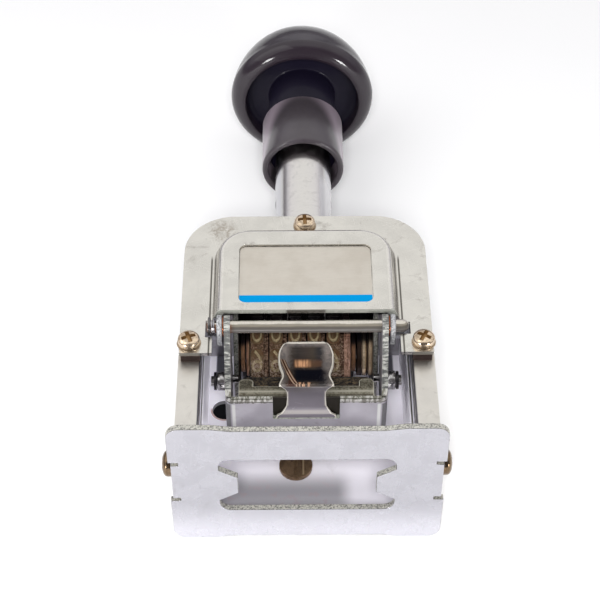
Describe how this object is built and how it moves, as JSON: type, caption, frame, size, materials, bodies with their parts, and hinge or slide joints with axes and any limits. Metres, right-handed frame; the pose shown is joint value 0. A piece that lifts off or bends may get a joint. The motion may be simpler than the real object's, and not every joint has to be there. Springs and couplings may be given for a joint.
{
  "type": "numbering machine",
  "caption": "Self-inking numbering machine: a sprung plunger brings the figure wheels down to the paper while the ink pad swings clear.",
  "frame": {"origin": "centre of the bounding box's underside, with the machine lying on its back: half way between the printing face and the knob's crown, under the stem's axis, on the table", "axes": "+X across the machine to the right as seen from the front cover, +Y from the printing face to the knob along the stem, +Z from the table up to the front cover"},
  "size_m": [0.0658, 0.1574, 0.0428],
  "materials": {
    "plate_steel": "bright nickel plate with fine scratches",
    "frame_steel": "bright plated sheet",
    "rail_steel": "plated folded sheet",
    "bridge_steel": "plated block",
    "cover_steel": "plated pressing with grime",
    "name_plate": "silver plate with a plain blue stripe",
    "brown_lug": "dark brown",
    "screw_brass": "passivated, golden",
    "washer_brass": "passivated, golden",
    "side_copper": "copper coloured",
    "stop_brass": "dull brass",
    "hanger_steel": "plated sheet",
    "rod_chrome": "polished",
    "washer_copper": "copper",
    "clip_steel": "dark spring steel",
    "spring_steel": "bright spring wire",
    "stem_chrome": "polished tube",
    "knob_black": "glossy black",
    "sleeve_black": "satin black",
    "cheek_steel": "plated sheet",
    "pin_steel": "turned steel",
    "collar_brass": "dull brass",
    "wheel_brass": "brass stained with ink",
    "ratchet_bronze": "dark bronze",
    "bail_steel": "zinc plated",
    "post_steel": "bright steel",
    "tray_steel": "olive-grey plated",
    "inked_felt": "black inked felt",
    "tab_chrome": "polished"
  },
  "bodies": {
    "frame": {"base_plate": "plate_steel", "rear_plate": "frame_steel", "left_rail": "rail_steel", "right_rail": "rail_steel", "top_bridge": "bridge_steel", "cross_pin": "pin_steel", "cover": "cover_steel", "name_plate": "name_plate", "cover_lugs": "brown_lug", "cover_screws": "screw_brass", "cover_washers": "washer_brass", "side_screws": "side_copper", "stop_screw": "stop_brass", "left_hanger": "hanger_steel", "right_hanger": "hanger_steel", "bail_rod": "rod_chrome", "rod_washers": "washer_copper", "rod_clip": "clip_steel", "bail_spring": "spring_steel", "return_spring": "spring_steel"},
    "plunger": {"stem": "stem_chrome", "knob": "knob_black", "knob_sleeve": "sleeve_black", "yoke": "cheek_steel", "left_cheek": "cheek_steel", "right_cheek": "cheek_steel", "guide_blocks": "clip_steel", "wheel_shaft": "pin_steel", "left_collar": "collar_brass", "right_collar": "collar_brass", "detent_comb": "pin_steel"},
    "wheel_1": {"digit_wheel_1": "wheel_brass"},
    "wheel_2": {"digit_wheel_2": "wheel_brass"},
    "wheel_3": {"digit_wheel_3": "wheel_brass"},
    "wheel_4": {"digit_wheel_4": "wheel_brass"},
    "wheel_5": {"digit_wheel_5": "wheel_brass", "unit_ratchet": "ratchet_bronze"},
    "pawl": {"pawl_frame": "ratchet_bronze", "feed_pawl": "clip_steel"},
    "ink_bail": {"pad_bail": "bail_steel", "drive_pins": "pin_steel", "stop_posts": "post_steel", "post_clips": "clip_steel", "ink_tray": "tray_steel", "felt_pad": "inked_felt", "finger_tab": "tab_chrome"}
  },
  "joints": [
    {"name": "plunger_stroke", "type": "slide", "parent": "frame", "child": "plunger", "axis": [0, -1, 0], "range_m": [0, 0.02875], "stiffness_N_per_m": 600, "springref_m": -0.012, "deforming": ["return_spring"]},
    {"name": "ink_bail_swing", "type": "hinge", "parent": "frame", "child": "ink_bail", "pos_m": [0, -0.04855, 0.04], "axis": [-1, 0, 0], "range_deg": [0, 90.2]},
    {"name": "pawl_rock", "type": "hinge", "parent": "plunger", "child": "pawl", "pos_m": [0, -0.03835, 0.02], "axis": [-1, 0, 0], "range_deg": [0, 36.2]},
    {"name": "wheel_1_turn", "type": "hinge", "parent": "plunger", "child": "wheel_1", "pos_m": [0, -0.03835, 0.02], "axis": [1, 0, 0], "continuous": true},
    {"name": "wheel_2_turn", "type": "hinge", "parent": "plunger", "child": "wheel_2", "pos_m": [0, -0.03835, 0.02], "axis": [1, 0, 0], "continuous": true},
    {"name": "wheel_3_turn", "type": "hinge", "parent": "plunger", "child": "wheel_3", "pos_m": [0, -0.03835, 0.02], "axis": [1, 0, 0], "continuous": true},
    {"name": "wheel_4_turn", "type": "hinge", "parent": "plunger", "child": "wheel_4", "pos_m": [0, -0.03835, 0.02], "axis": [1, 0, 0], "continuous": true},
    {"name": "wheel_5_turn", "type": "hinge", "parent": "plunger", "child": "wheel_5", "pos_m": [0, -0.03835, 0.02], "axis": [1, 0, 0], "continuous": true}
  ],
  "couplings": [
    {"joint": "ink_bail_swing", "follows": "plunger_stroke", "rad_per_m": 54.636},
    {"joint": "pawl_rock", "follows": "plunger_stroke", "rad_per_m": 21.855}
  ]
}
